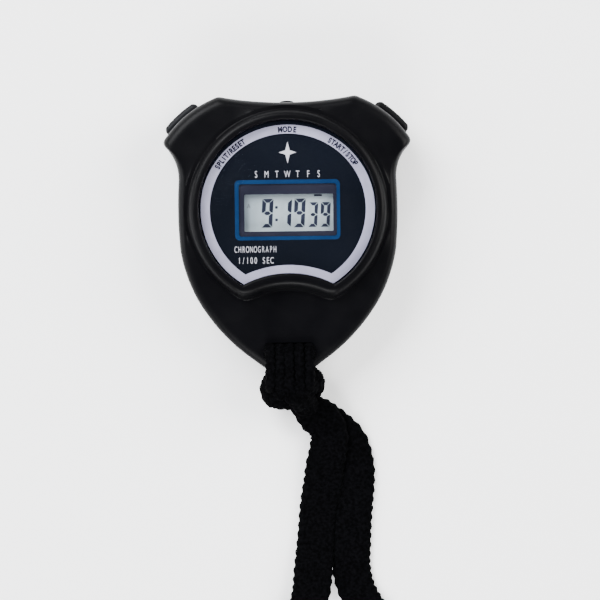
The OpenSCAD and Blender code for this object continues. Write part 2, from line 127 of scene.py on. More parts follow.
def joined(parts):
    """Several meshes, each given as points and faces, as one."""
    points, faces = [], []
    for p, f in parts:
        start = sum(len(x) for x in points)
        points.append(np.asarray(p, float))
        faces += [[i + start for i in face] for face in f]
    return np.vstack(points), faces


def smooth_by_angle(piece, degrees):
    """Keeps the edges sharp that turn by more than an angle."""
    data = piece.data
    bm = bmesh.new()
    bm.from_mesh(data)
    limit = math.radians(degrees)
    for e in bm.edges:
        if len(e.link_faces) == 2:
            e.smooth = e.calc_face_angle(0) < limit
    bm.to_mesh(data)
    bm.free()


def apply_modifiers(piece):
    dg = bpy.context.evaluated_depsgraph_get()
    data = bpy.data.meshes.new_from_object(piece.evaluated_get(dg))
    piece.modifiers.clear()
    piece.data = data


def cut(piece, cutters):
    """Takes the cutters' shapes out of a closed piece, and removes the cutters."""
    for cutter in cutters:
        mod = piece.modifiers.new("cut", "BOOLEAN")
        mod.operation = "DIFFERENCE"
        mod.solver = "EXACT"
        mod.object = cutter
    apply_modifiers(piece)
    for cutter in cutters:
        bpy.data.objects.remove(cutter)


def prism(outline, low, high):
    """Plain upright solid on an outline, for cutting with."""
    points = [(x, y, z) for z in (low, high) for x, y in outline]
    return mesh_object("cutter", points, capped_quads(len(outline), 2))


def circle(x, y, r, n=48):
    angles = [2 * math.pi * i / n for i in range(n)]
    return [(x + r * math.cos(a), y + r * math.sin(a)) for a in angles]


def rounded_rect(x0, y0, x1, y1, r, steps=6):
    points = []
    for k, (cx, cy) in enumerate(((x1 - r, y1 - r), (x0 + r, y1 - r), (x0 + r, y0 + r), (x1 - r, y0 + r))):
        for i in range(steps + 1):
            a = math.pi / 2 * (k + i / steps)
            points.append((cx + r * math.cos(a), cy + r * math.sin(a)))
    return points


def spline(points, step):
    """Smooth curve through the points, sampled at even steps of length."""
    p = np.asarray(points, float)
    p = np.vstack([2 * p[0] - p[1], p, 2 * p[-1] - p[-2]])
    out = []
    for i in range(1, len(p) - 2):
        for t in np.linspace(0, 1, 24, endpoint=False):
            a, b, c, d = p[i - 1 : i + 3]
            out.append(0.5 * (
                2 * b + (c - a) * t + (2 * a - 5 * b + 4 * c - d) * t**2 + (3 * b - a - 3 * c + d) * t**3
            ))
    out.append(p[-2])
    return even(np.array(out), step)


def even(line, step):
    """The same line with its points at even steps of length."""
    run = np.concatenate([[0], np.cumsum(np.linalg.norm(np.diff(line, axis=0), axis=1))])
    at = np.linspace(0, run[-1], max(2, int(round(run[-1] / step)) + 1))
    return np.stack([np.interp(at, run, line[:, k]) for k in range(3)], axis=1)


def unit(v):
    return v / np.linalg.norm(v, axis=1, keepdims=True)


def swept(line, side, up, out, height):
    """Points round a line: each ring's own distances to the side and up."""
    points = line[:, None, :] + side[:, None, :] * out[..., None] + up[:, None, :] * height[..., None]
    return points.reshape(-1, 3)


def ease(x):
    x = np.clip(x, 0, 1)
    return x * x * (3 - 2 * x)


# ---- materials
def shader(name, colour, roughness, **inputs):
    """New material with its node tree and its Principled node."""
    m = bpy.data.materials.new(name)
    m.use_nodes = True
    b = m.node_tree.nodes["Principled BSDF"]
    b.inputs["Base Color"].default_value = (*colour, 1)
    b.inputs["Roughness"].default_value = roughness
    for key, value in inputs.items():
        b.inputs[key.replace("_", " ")].default_value = value
    return m, m.node_tree, b


def noise_node(tree, scale, detail=2.0, stretch=None):
    where = tree.nodes.new("ShaderNodeTexCoord")
    node = tree.nodes.new("ShaderNodeTexNoise")
    node.inputs["Scale"].default_value = scale
    node.inputs["Detail"].default_value = detail
    vector = where.outputs["Object"]
    if stretch:
        mapping = tree.nodes.new("ShaderNodeMapping")
        mapping.inputs["Scale"].default_value = stretch
        tree.links.new(vector, mapping.inputs["Vector"])
        vector = mapping.outputs["Vector"]
    tree.links.new(vector, node.inputs["Vector"])
    return node.outputs["Fac"]


def ramp(tree, value, stops):
    node = tree.nodes.new("ShaderNodeValToRGB")
    while len(node.color_ramp.elements) < len(stops):
        node.color_ramp.elements.new(0.5)
    for e, (at, c) in zip(node.color_ramp.elements, stops):
        e.position = at
        e.color = (*c, 1)
    tree.links.new(value, node.inputs["Fac"])
    return node.outputs["Color"]


def spread(tree, value, low, high, from_low=0.3, from_high=0.7):
    node = tree.nodes.new("ShaderNodeMapRange")
    node.inputs["From Min"].default_value = from_low
    node.inputs["From Max"].default_value = from_high
    node.inputs["To Min"].default_value = low
    node.inputs["To Max"].default_value = high
    tree.links.new(value, node.inputs["Value"])
    return node.outputs["Result"]


def bump(tree, b, value, strength, distance, below=None):
    node = tree.nodes.new("ShaderNodeBump")
    node.inputs["Strength"].default_value = strength
    node.inputs["Distance"].default_value = distance
    tree.links.new(value, node.inputs["Height"])
    if below:
        tree.links.new(below, node.inputs["Normal"])
    tree.links.new(node.outputs["Normal"], b.inputs["Normal"])
    return node.outputs["Normal"]


def varied(name, dark, light, roughness, scale, grain_scale, grain=0.2, grain_mm=0.02, **inputs):
    """Plain material with cloudy colour, uneven roughness and a fine grain."""
    m, tree, b = shader(name, dark, roughness[0], **inputs)
    cloud = noise_node(tree, scale, 4)
    tree.links.new(ramp(tree, cloud, [(0.35, dark), (0.65, light)]), b.inputs["Base Color"])
    tree.links.new(spread(tree, cloud, *roughness), b.inputs["Roughness"])
    bump(tree, b, noise_node(tree, grain_scale, 3), grain, grain_mm * MM)
    return m


def case_plastic(name, dark, light, roughness):
    """Black moulded plastic: satin, with a fine spark-eroded grain, wear and a few hair scratches."""
    m, tree, b = shader(name, dark, roughness[0])
    b.inputs["Specular IOR Level"].default_value = 0.055
    cloud = noise_node(tree, 60, 5)
    tree.links.new(ramp(tree, cloud, [(0.3, dark), (0.7, light)]), b.inputs["Base Color"])
    tree.links.new(spread(tree, noise_node(tree, 170, 4), *roughness), b.inputs["Roughness"])
    grain = bump(tree, b, noise_node(tree, 5200, 2), 0.16, 0.02 * MM)
    scratch = spread(tree, noise_node(tree, 260, 2, (1, 14, 1)), 0, 1, 0.7, 0.76)
    bump(tree, b, scratch, 0.12, 0.01 * MM, grain)
    return m


black = case_plastic("case_black", (0.0009, 0.0009, 0.0013), (0.0016, 0.0016, 0.0021), (0.34, 0.44))
button_dark = case_plastic("button_black", (0.0014, 0.0014, 0.0018), (0.0026, 0.0026, 0.0032), (0.36, 0.44))
# Painted light: a lighter copy of the black button plastic, for the split/reset button on the lit left side.
button_painted_lit = case_plastic("button_grey", (0.0055, 0.0058, 0.0070), (0.0085, 0.0090, 0.0105), (0.34, 0.44))


def knit_material():
    """Black polyester yarn: matt, a little sheen, fibres along the stitches."""
    m, tree, b = shader("strap_black", (0.0010, 0.0010, 0.0014), 0.85)
    b.inputs["Sheen Weight"].default_value = 0.0015
    b.inputs["Sheen Roughness"].default_value = 0.5
    b.inputs["Specular IOR Level"].default_value = 0.012
    cloud = noise_node(tree, 1400, 3)
    yarn = ramp(tree, cloud, [(0.35, (0.0003, 0.0003, 0.0004)), (0.7, (0.0013, 0.0013, 0.0017))])
    tree.links.new(yarn, b.inputs["Base Color"])
    tree.links.new(spread(tree, cloud, 0.92, 0.74), b.inputs["Roughness"])
    bump(tree, b, noise_node(tree, 3600, 3, (1, 0.25, 1)), 0.5, 0.08 * MM)
    return m


knit = knit_material()


# ---- camera, floor and light
# The photograph looks straight down on the face from about half a metre.
VIEW_MID = (2.75, -15.75)
VIEW_WIDTH = 148.2
VIEW_ROLL = -0.7
VIEW_FROM = 480
FACE_Z = 15
SENSOR = 36

camera = new_object("camera", bpy.data.cameras.new("camera"))
camera.data.sensor_width = SENSOR
camera.data.lens = SENSOR * VIEW_FROM / VIEW_WIDTH
camera.location = Vector((VIEW_MID[0], VIEW_MID[1], FACE_Z + VIEW_FROM)) * MM
camera.rotation_euler = (0, 0, math.radians(VIEW_ROLL))
camera.data.clip_start, camera.data.clip_end = 0.01, 20
bpy.context.scene.camera = camera

FLOOR_HALF = 6


def floor_material():
    m, tree, b = shader("floor", (0.93, 0.93, 0.93), 0.9)
    b.inputs["Emission Color"].default_value = (1, 1, 1, 1)
    b.inputs["Emission Strength"].default_value = 0.35
    paper = ramp(tree, noise_node(tree, 3, 2), [(0.3, (0.925, 0.925, 0.925)), (0.7, (0.94, 0.94, 0.94))])
    tree.links.new(paper, b.inputs["Base Color"])
    return m


floor_data = bpy.data.meshes.new("floor")
floor_corners = [(x * FLOOR_HALF, y * FLOOR_HALF, 0) for x, y in ((-1, -1), (1, -1), (1, 1), (-1, 1))]
floor_data.from_pydata(floor_corners, [], [(0, 1, 2, 3)])
floor_data.materials.append(floor_material())
floor = new_object("floor", floor_data)


def area_light(name, at, towards, size, power, colour=(1, 1, 1)):
    lamp = bpy.data.lights.new(name, "AREA")
    lamp.shape = "RECTANGLE"
    lamp.size, lamp.size_y = size
    lamp.energy = power
    lamp.color = colour
    o = new_object(name, lamp)
    o.location = at
    o.rotation_mode = "QUATERNION"
    o.rotation_quaternion = (Vector(towards) - Vector(at)).to_track_quat("-Z", "Y")


area_light("key", (-0.75, 0.85, 0.95), (0, 0, 0), (1.1, 0.85), 66, (0.97, 0.98, 1.0))
area_light("fill", (1.15, 0.35, 0.8), (0, 0, 0), (0.9, 1.1), 44, (1.0, 0.99, 0.97))
area_light("low", (-0.2, -1.3, 0.75), (0, 0, 0), (1.0, 0.5), 38)
area_light("window", (-0.2, 0.16, 0.85), (0, 0, 0), (0.12, 0.24), 0.15, (0.72, 0.84, 1.0))
area_light("side", (-1.2, -0.1, 0.45), (0, 0, 0), (0.5, 0.7), 12, (0.95, 0.97, 1.0))

# The studio is white round the sides and darker overhead, so that the lens isn't washed out.
world = bpy.data.worlds.new("world")
bpy.context.scene.world = world
world.use_nodes = True
sky = world.node_tree
direction = sky.nodes.new("ShaderNodeTexCoord")
parts = sky.nodes.new("ShaderNodeSeparateXYZ")
sky.links.new(direction.outputs["Generated"], parts.inputs["Vector"])
sky.links.new(
    ramp(sky, parts.outputs["Z"], [(0.25, (1.0, 1.0, 1.0)), (0.86, (0.055, 0.064, 0.085))]),
    sky.nodes["Background"].inputs["Color"],
)
sky.nodes["Background"].inputs["Strength"].default_value = 1.0


# ---- lanyard: the strap
STRAP_W = 10
STRAP_T = 2
STRAP_STEP = 0.55
LEFT_ROUTE = [
    (3.4, -41.9, 4.4), (6.2, -44.8, 3.9), (8.9, -47.3, 3.3), (9.8, -50.6, 3.1), (9.3, -54.2, 2.9),
    (8.5, -58, 2.6), (8.0, -62, 2.1), (7.2, -66.3, 1.6), (6.6, -70.5, 1.25), (6.1, -76, 1.4),
    (5.3, -84, 2.4), (4.4, -91, 3.1), (1.5, -98.2, 3.15), (-3.2, -104, 3.15), (-10, -110.8, 3.15),
]
RIGHT_ROUTE = [
    (4.6, -43, 2.2), (8, -45.8, 1.5), (11.8, -48.7, 1.05), (14.8, -52.2, 1.05),
    (16.1, -57.3, 1.05), (16.3, -62, 1.05), (15.9, -68, 1.05), (15.3, -76, 1.05),
    (15, -84, 1.05), (17.2, -91.5, 1.05), (23, -99.5, 1.05), (30, -106, 1.05),
    (36, -115, 1.05), (39.2, -125, 1.05),
]
# The coil is oblong: two round ends joined by straight runs.
COIL_ENDS = ((0, -194.5), (0, -134.5))
COIL_R = 40
COIL_PITCH = 10
# Degrees: all that the coil turns, between its points, and where it climbs over the outer turn.
COIL_ARC = 585
COIL_STEP = 15
COIL_CLIMB = 45
LOW_Z = 1.05
OVER_Z = 3.15
STITCH = 2.3
GATHER_RUN = 9


def strap_route():
    """Right leg out of the knot, round the oblong coil, over its outer turn, and back up the left leg."""
    points = [(2.6, -39.6, 3.0)] + RIGHT_ROUTE
    turned = 0
    while turned < COIL_ARC:
        mid = COIL_ENDS[int(turned // 180) % 2]
        before = COIL_ENDS[int(turned // 180 + 1) % 2]
        r = COIL_R - COIL_PITCH * turned / 360
        side = 1 if turned % 360 == 0 else -1
        for f in (1 / 3, 2 / 3) if turned else (0, 1 / 3, 2 / 3):
            points.append((side * r, before[1] + (mid[1] - before[1]) * f, LOW_Z))
        arc = min(180, COIL_ARC - turned)
        for i in range(int(arc // COIL_STEP) + 1):
            a = turned + COIL_STEP * i
            r = COIL_R - COIL_PITCH * a / 360
            lift = ease((a - COIL_ARC + COIL_CLIMB) / COIL_CLIMB)
            points.append((
                mid[0] + r * math.cos(math.radians(-a)), mid[1] + r * math.sin(math.radians(-a)),
                LOW_Z + (OVER_Z - LOW_Z) * lift,
            ))
        turned += arc
    return points + LEFT_ROUTE[::-1] + [(2.2, -39.2, 4.6)]


def knit_relief(run, across):
    """Height of the stitches over the cloth: columns of chevrons. across goes from -1 to 1."""
    column = (across + 1) * 2
    f = column - np.floor(column) - 0.5
    crown = 1 - (2 * f) ** 2
    lean = np.where(np.floor(column) % 2 == 0, f, -f)
    stitch = np.cos(2 * math.pi * (run / STITCH - 0.75 * np.abs(f) * 2 + 0.4 * lean))
    return 0.13 * crown + 0.15 * crown * stitch


def strap_mesh(line, width, thick):
    """Flat knitted tube along a line, with stitches on both faces and scalloped edges."""
    n = len(line)
    after = np.vstack([line[1:], line[-1:] + (line[-1:] - line[-2:-1])])
    before = np.vstack([line[:1] - (line[1:2] - line[:1]), line[:-1]])
    ahead = after - before
    ahead = unit(ahead)
    side = np.cross(ahead, [0, 0, 1])
    side = unit(side)
    up = np.cross(side, ahead)
    run = np.arange(n) * np.linalg.norm(line[1] - line[0])
    upper = np.linspace(1, -1, 21)
    lower = np.linspace(-1, 1, 15)[1:-1]
    across = np.concatenate([upper, lower])
    face = np.concatenate([np.ones(len(upper)), -np.ones(len(lower))])
    s, v = np.meshgrid(run, across, indexing="ij")
    body = np.sqrt(np.clip(1 - np.abs(v) ** 5, 0, 1))
    height = (thick / 2 - 0.27) * body + knit_relief(s, v) * np.clip(body * 1.3, 0, 1)
    scallop = 1 + 0.04 * np.cos(2 * math.pi * s / STITCH) + 0.02 * np.sin(2 * math.pi * s / (10 * STITCH) + 1)
    # The strap gathers where its two ends go into the knot.
    gather = 0.66 + 0.34 * ease(np.minimum(s, run[-1] - s) / GATHER_RUN)
    out = v * width / 2 * scallop * gather * 0.965
    return swept(line, side, up, out, height * face[None, :]), capped_quads(len(across), n)


strap_line = spline(strap_route(), STRAP_STEP)
strap = add_mesh(
    "lanyard_strap", *strap_mesh(strap_line, STRAP_W, STRAP_T), knit, "strap_black",
    ("lanyard_left_leg", "lanyard_right_leg", "lanyard_coil"),
)


# ---- case shells
PARTING_Z = 7.2
DIAL = (0, 6.8)
SLOT = (-6.25, -31.2, 6.25, -26.3)
SLOT_ROUND = 1.2
BEZEL_R = 24.8
BEZEL_CUT = (-34.65, 21.4)
OPENING_R = 21.98
OPENING_CUT = (-33.25, 24.02)
BEZEL_Z = 17
# Shares of the outline: at the parting line's chamfer, and where the face begins inside its round edge.
SEAM_SCALE = 0.9965
SEAM_DROP = 0.16
FACE_SCALE = 0.925
EDGE_ROUND = 0.075
# Shares of the height from the parting line to the face: where the round edge begins, and the extra rise.
SIDE_SHARE = 0.62
FACE_RISE = 0.03
# Heights inside: the plate's underside, the well that holds the display, and the floor of the shell.
LEDGE_Z = 13.9
WELL_TOP = 12.7
WELL_LOW = 11.5
FLOOR_Z = 1.8
CAVITY_END = -19
# The printed ring's height above the dial's middle, as a share of a true circle's.
RING_FLAT = 0.968
# Right half of the outline: start, bulge to the next start. Clockwise from the top centre.
HALF_EDGES = (
    ((0, 33.4), -0.35), ((16, 34.8), 0.3), ((18.2, 34.5), 1.15), ((30.3, 24.7), 0.4),
    ((30.5, 22.8), -0.95), ((27.05, 14.5), 0.35), ((26.85, -3.25), 0.5), ((22.9, -15.1), 1.2),
    ((8.7, -30.75), 0), ((4.6, -33.85), 0.25), ((2.4, -34.9), 0), ((0, -35), 0),
)


def arc_points(p, q, bulge, steps):
    """Arc from p up to but not including q, that stands out from its chord by the bulge."""
    p, q = np.array(p, float), np.array(q, float)
    run = q - p
    chord = np.linalg.norm(run)
    if bulge == 0:
        return [p + run * i / steps for i in range(steps)]
    side = np.array([-run[1], run[0]]) / chord
    radius = (chord**2 / 4 + bulge**2) / (2 * abs(bulge))
    turn = math.copysign(1, bulge)
    centre = (p + q) / 2 + side * (bulge - turn * radius)
    half = math.asin(min(1, chord / 2 / radius))
    angles = [half * (2 * i / steps - 1) for i in range(steps)]
    return [centre + radius * (turn * side * math.cos(a) + run / chord * math.sin(a)) for a in angles]


def case_outline():
    half = []
    for (p, bulge), (q, _) in zip(HALF_EDGES[:-1], HALF_EDGES[1:]):
        steps = max(2, int(math.dist(p, q) / 0.42))
        half += arc_points(p, q, bulge, steps)
    half = np.array(half)
    other = half[1:][::-1] * [-1, 1]
    loop = np.vstack([half, [HALF_EDGES[-1][0]], other])
    # Soften the corners a little, as the moulding does.
    for _ in range(2):
        loop = (np.roll(loop, 1, 0) + 2 * loop + np.roll(loop, -1, 0)) / 4
    return loop


def towards(angles, loop):
    """Where rays from the dial's centre cross a closed loop that each ray meets once."""
    p = np.asarray(loop, float) - DIAL
    around = np.arctan2(p[:, 1], p[:, 0])
    if np.sum(np.diff(np.unwrap(around))) < 0:
        p, around = p[::-1], around[::-1]
    k = int(np.argmin(around))
    p, around = np.roll(p, -k, 0), np.roll(around, -k)
    around = np.append(around, around[0] + 2 * math.pi)
    p = np.vstack([p, p[:1]])
    out = []
    for a in angles:
        b = a if a >= around[0] else a + 2 * math.pi
        i = min(max(int(np.searchsorted(around, b, side="right")) - 1, 0), len(p) - 2)
        q, run = p[i], p[i + 1] - p[i]
        d = np.array([math.cos(a), math.sin(a)])
        t = (q[0] * run[1] - q[1] * run[0]) / (d[0] * run[1] - d[1] * run[0])
        out.append(DIAL + d * t)
    return np.array(out)


def dial_ring(angles, r, cut_y, cut_r):
    """Loop round the dial: a circle with a concave lower edge."""
    out = []
    drop = DIAL[1] - cut_y
    for a in angles:
        c, s = math.cos(a), math.sin(a)
        t, b = r, -s * drop
        inside = b * b - (drop * drop - cut_r * cut_r)
        if b > 0 and inside > 0:
            t = min(r, b - math.sqrt(inside))
        out.append((DIAL[0] + c * t, DIAL[1] + s * t))
    return np.array(out)


def corner_angle(r, cut_y, cut_r):
    """Direction of the right lower corner of such a loop."""
    drop = DIAL[1] - cut_y
    low = (cut_r**2 - r**2 - drop**2) / (2 * drop)
    return math.atan2(low, math.sqrt(r * r - low * low))


def face_z(y):
    """Height of the face, which falls away towards the tip."""
    return 15.2 - 0.00105 * np.minimum(0, y - 30) ** 2


def share_z(xy, share):
    """Height at a share of the way from the parting line to the face."""
    return PARTING_Z + (face_z(xy[:, 1]) - PARTING_Z) * share


def smooth_max(a, b, k):
    """Larger of two values, rounded where they are within k of each other."""
    h = np.maximum(k - np.abs(a - b), 0) / k
    return np.maximum(a, b) + h * h * k / 4


def ridge(inside, low):
    """Rounded profile of the bezel: 0 is its outer edge, and it is level from 1 on."""
    top = BEZEL_Z - (BEZEL_Z - low) * np.clip(1 - inside, 0, 1) ** 2.8
    return np.where(inside < 0, low + 10 * inside, top)


def top_z(xy, share):
    """Height of the case face with the bezel ridge on it."""
    face = share_z(xy, share)
    inside_round = (BEZEL_R - np.hypot(xy[:, 0] - DIAL[0], xy[:, 1] - DIAL[1])) / 2.1
    inside_low = (np.hypot(xy[:, 0], xy[:, 1] - BEZEL_CUT[0]) - BEZEL_CUT[1]) / 2.8
    inside = -smooth_max(-inside_round, -inside_low, 0.8)
    low = 13.6 + ease((inside_low - inside_round) / 0.8 + 0.5)
    bezel = ridge(inside, low)
    return np.minimum(smooth_max(face, bezel, 0.5), BEZEL_Z)


def lowered(loop):
    """The printed ring is a little flatter above the middle."""
    loop = np.array(loop)
    loop[:, 1] = DIAL[1] + (loop[:, 1] - DIAL[1]) * np.where(loop[:, 1] > DIAL[1], RING_FLAT, 1)
    return loop


def dial_angles(*shapes):
    """Even directions, with each shape's two corners put in exactly."""
    angles = list(np.linspace(-math.pi, math.pi, 360, endpoint=False))
    for shape in shapes:
        a = corner_angle(*shape)
        angles += [a, -math.pi - a]
    angles = np.array(sorted(angles))
    keep = np.append(np.diff(angles) > 1e-4, True)
    return angles[keep]


edge = case_outline()
edge_angles = np.arctan2(edge[:, 1] - DIAL[1], edge[:, 0] - DIAL[0])
corners = []
for f in np.linspace(0, 1, 5):
    a = corner_angle(
        BEZEL_R + (OPENING_R - BEZEL_R) * f, BEZEL_CUT[0] + (OPENING_CUT[0] - BEZEL_CUT[0]) * f,
        BEZEL_CUT[1] + (OPENING_CUT[1] - BEZEL_CUT[1]) * f,
    )
    corners += [a, -math.pi - a]
ANGLES = np.array(sorted(list(edge_angles) + corners))
ANGLES = ANGLES[np.append(np.diff(ANGLES) > 4e-4, True)]
EDGE = towards(ANGLES, edge)


def at_z(xy, z):
    """Loop of XY points raised to a height."""
    return np.column_stack([xy, np.broadcast_to(z, len(xy))])


def cavity_loop():
    """Inside of both shells, which ends before the strap's slot."""
    loop = EDGE * FACE_SCALE
    x = loop[:, 0] * np.where(loop[:, 1] < CAVITY_END, 0.9, 1)
    return np.column_stack([x, np.maximum(loop[:, 1], CAVITY_END)])


def front_rings():
    """Front shell: up the side, over the bezel, down the opening and round the cavity."""
    rings = [at_z(EDGE * SEAM_SCALE, PARTING_Z), at_z(EDGE, PARTING_Z + SEAM_DROP)]
    for share in (0.12, 0.3, 0.46, SIDE_SHARE):
        rings.append(at_z(EDGE, share_z(EDGE, share)))
    for u in np.linspace(0, 1, 10)[1:]:
        xy = EDGE * (1 - EDGE_ROUND * (1 - math.cos(u * math.pi / 2)))
        rings.append(at_z(xy, share_z(xy, SIDE_SHARE + (1 - SIDE_SHARE) * math.sin(u * math.pi / 2))))

    def bezel_loop(back):
        """Loop a distance in from the bezel's outer edge."""
        f = back / (BEZEL_R - OPENING_R)
        g = max(f, 0)
        return dial_ring(
            ANGLES, BEZEL_R - back, BEZEL_CUT[0] + (OPENING_CUT[0] - BEZEL_CUT[0]) * g,
            BEZEL_CUT[1] + (OPENING_CUT[1] - BEZEL_CUT[1]) * g + min(back, 0),
        )

    inner = EDGE * FACE_SCALE
    foot = bezel_loop(-0.9)
    for t in np.linspace(0, 1, 15)[1:]:
        xy = inner + (foot - inner) * (1 - (1 - t) ** 1.25)
        rings.append(at_z(xy, top_z(xy, 1 + FACE_RISE * t)))
    for back in (-0.65, -0.45, -0.3, -0.15, 0, 0.15, 0.3, 0.5, 0.75, 1.05, 1.4, 1.75, 2.1, 2.4):
        xy = bezel_loop(back)
        rings.append(at_z(xy, top_z(xy, 1 + FACE_RISE)))
    for back, z in ((2.6, 16.97), (2.72, 16.88), (2.79, 16.74), (2.82, 16.5)):
        rings.append(at_z(bezel_loop(back), z))
    opening = bezel_loop(BEZEL_R - OPENING_R)
    for z in (15.6, 14.8, LEDGE_Z):
        rings.append(at_z(opening, z))
    window = towards(ANGLES, rounded_rect(-13, -1.1, 13, 13.5, 1))
    well = towards(ANGLES, rounded_rect(-15.8, -3.6, 15.8, 16, 1))
    cavity = cavity_loop()
    rings += [at_z(window, LEDGE_Z), at_z(window, WELL_TOP), at_z(well, WELL_TOP), at_z(well, WELL_LOW)]
    return rings + [at_z(cavity, WELL_LOW), at_z(cavity, PARTING_Z)]


# The right button's own frame: X out along its axis from this point, Z up from the parting line.
SHOULDER = (8.05, 9.6)
SHOULDER_R = 26.9
BUTTON_ANGLE = math.radians(48)
BUTTON_HOLE = ((6, 5.27, 3.12), 1.35, 5)
BUTTON_HOLE_AT = (28, 0, 0)
MODE_HOLE_R = 1.9
MODE_HOLE_Y = (29, 40)
MODE_HOLE_STEPS = 32


def to_shoulder(points, side):
    """From a shoulder button's frame to the model's. side is 1 on the right and -1 on the left."""
    c, s = math.cos(BUTTON_ANGLE), math.sin(BUTTON_ANGLE)
    x = SHOULDER[0] + c * points[:, 0] - s * points[:, 1]
    y = SHOULDER[1] + s * points[:, 0] + c * points[:, 1]
    return np.column_stack([side * x, y, points[:, 2] + PARTING_Z])


def openings():
    """Cutters for the strap's slot and for the three buttons."""
    cutters = [prism(rounded_rect(*SLOT, SLOT_ROUND), -2, 20)]
    for side in (1, -1):
        points, faces = box_mesh(*BUTTON_HOLE)
        cutters.append(mesh_object("cutter", to_shoulder(points + BUTTON_HOLE_AT, side), faces))
    around = circle(0, 0, MODE_HOLE_R, MODE_HOLE_STEPS)
    hole = [(x, y, PARTING_Z + z) for y in MODE_HOLE_Y for x, z in around]
    return cutters + [mesh_object("cutter", hole, capped_quads(MODE_HOLE_STEPS, 2))]


rings = front_rings()
front = add_mesh(
    "front_shell", np.vstack(rings), ring_quads(len(ANGLES), len(rings), closed=True), black, "case_black",
    ("front_case",),
)
cut(front, openings())
smooth_by_angle(front, 38)


BACK_ROUND = 1.73


def back_rings():
    """Back shell from the middle of the flat back, up the side, and down into the cavity."""
    rings = [at_z(EDGE * s, z) for s, z in ((0.3, 0), (0.7, 0), (0.9, 0), (0.922, 0))]
    for u in np.linspace(0, 1, 9)[1:]:
        scale = FACE_SCALE + EDGE_ROUND * math.sin(u * math.pi / 2)
        rings.append(at_z(EDGE * scale, BACK_ROUND * (1 - math.cos(u * math.pi / 2))))
    rings += [at_z(EDGE, z) for z in (3, 4.5, 6, PARTING_Z - SEAM_DROP)]
    rings.append(at_z(EDGE * SEAM_SCALE, PARTING_Z))
    cavity = cavity_loop()
    return rings + [at_z(cavity, PARTING_Z), at_z(cavity, FLOOR_Z), at_z(cavity * 0.4, FLOOR_Z)]


SCREWS = ((22.6, 12.5), (-22.6, 12.5), (17.5, -14), (-17.5, -14))
SCREW_HOLE_R = 2.2
SCREW_HOLE_Z = 1.6
# The bar under the strap is cut back, from its outer side to the slot.
BAR_CUT = (-37, -31.1)
BAR_CUT_Z = 2.8
bar_cut = [(SLOT[0], BAR_CUT[0]), (SLOT[2], BAR_CUT[0]), (SLOT[2], BAR_CUT[1]), (SLOT[0], BAR_CUT[1])]
screw_holes = [prism(circle(x, y, SCREW_HOLE_R), -1, SCREW_HOLE_Z) for x, y in SCREWS]
back = add_mesh(
    "back_shell", *fan_closed(back_rings(), (0, 0, 0), (0, 0, FLOOR_Z)), black, "case_black", ("back_case",)
)
cut(back, openings() + screw_holes + [prism(bar_cut, -1, BAR_CUT_Z)])
smooth_by_angle(back, 38)


# ---- buttons
BUTTON_DEPTH = 4.7
BUTTON_OUT = 1.8
RIB_PITCH = 1.35
FLANGE_AT = (24.4, 0, 0)
STEM_AT = (21.6, 0, 0)


def shoulder_button(name, side, material, slot, node, body, rib):
    """Button curved to the shoulder, with ribs of a given depth, and its flange and stem inside."""
    half = BUTTON_DEPTH / 2
    points, faces = box_mesh((half, 5.15, 3.0), 1.25, 30)
    share = (points[:, 0] + half) / BUTTON_DEPTH
    outer = SHOULDER_R + BUTTON_OUT
    ribbed = ease((4.3 - np.abs(points[:, 1])) / 0.7) * ease((2.3 - np.abs(points[:, 2])) / 0.6)
    ribbed = ribbed * (share > 0.9)
    points[:, 0] += outer - half + share * (np.sqrt(outer**2 - points[:, 1] ** 2) - outer)
    points[:, 0] -= rib * ribbed * (0.5 - 0.5 * np.cos(2 * math.pi * points[:, 1] / RIB_PITCH))
    flange, flange_faces = box_mesh((0.5, 6.2, 3.8), 0.25, 3)
    stem, stem_faces = box_mesh((2.7, 1.45, 1.45), 0.6, 4)
    parts = [(points, faces), (flange + FLANGE_AT, flange_faces), (stem + STEM_AT, stem_faces)]
    all_points, all_faces = joined(parts)
    add_mesh(name, to_shoulder(all_points, side), all_faces, material, slot, (node,), body)


shoulder_button("start_stop_cap", 1, button_dark, "button_black", "start_stop_button", "start_stop", 0.12)
shoulder_button("split_reset_cap", -1, button_painted_lit, "button_grey", "split_reset_button", "split_reset", 0.2)


def lathe_y(profile, steps=48):
    """Closed solid turned about the mode button's axis; profile is radius and Y."""
    rings = [[(x, y, PARTING_Z + z) for x, z in circle(0, 0, r, steps)] for r, y in profile]
    return np.vstack(rings), capped_quads(steps, len(rings))


MODE_R = 1.8
MODE_Y = 33.7
mode_stem = [(0.8, 28.2), (1, 28.35), (1, 30)]
mode_flange = [(2.9, 30.1), (3, 30.2), (3, 31), (2.9, 31.1)]
mode_edge = [
    (MODE_R - 0.55 * (1 - math.cos(u)), MODE_Y + 0.5 * math.sin(u)) for u in np.linspace(0.2, math.pi / 2, 7)
]
mode_top = [(0.9, 34.26), (0.4, 34.29), (0.1, 34.3)]
mode_profile = mode_stem + mode_flange + [(MODE_R, 31.15), (MODE_R, MODE_Y)] + mode_edge + mode_top
mode = add_mesh("mode_cap", *lathe_y(mode_profile), button_dark, "button_black", ("mode_button",), "mode")
smooth_by_angle(mode, 50)


# ---- dial plate and its print
PLATE_Z = 14.36
PRINT_T = 0.03


def plate_material():
    """Blue-black printed plate: nearly matt, so that it stays dark under the lens."""
    m, tree, b = shader("dial_black", (0.001, 0.0013, 0.0026), 0.32)
    b.inputs["Specular IOR Level"].default_value = 0.06
    cloud = noise_node(tree, 34, 2)
    colour = ramp(tree, cloud, [(0.35, (0.0006, 0.0009, 0.0018)), (0.7, (0.0018, 0.0024, 0.0046))])
    tree.links.new(colour, b.inputs["Base Color"])
    tree.links.new(spread(tree, noise_node(tree, 240, 4), 0.3, 0.4), b.inputs["Roughness"])
    bump(tree, b, noise_node(tree, 2600, 2), 0.03, 0.005 * MM)
    return m


def ink(name, dark, light):
    return varied(name, dark, light, (0.34, 0.46), 160, 2600, 0.12, 0.01, **{"Specular IOR Level": 0.08})


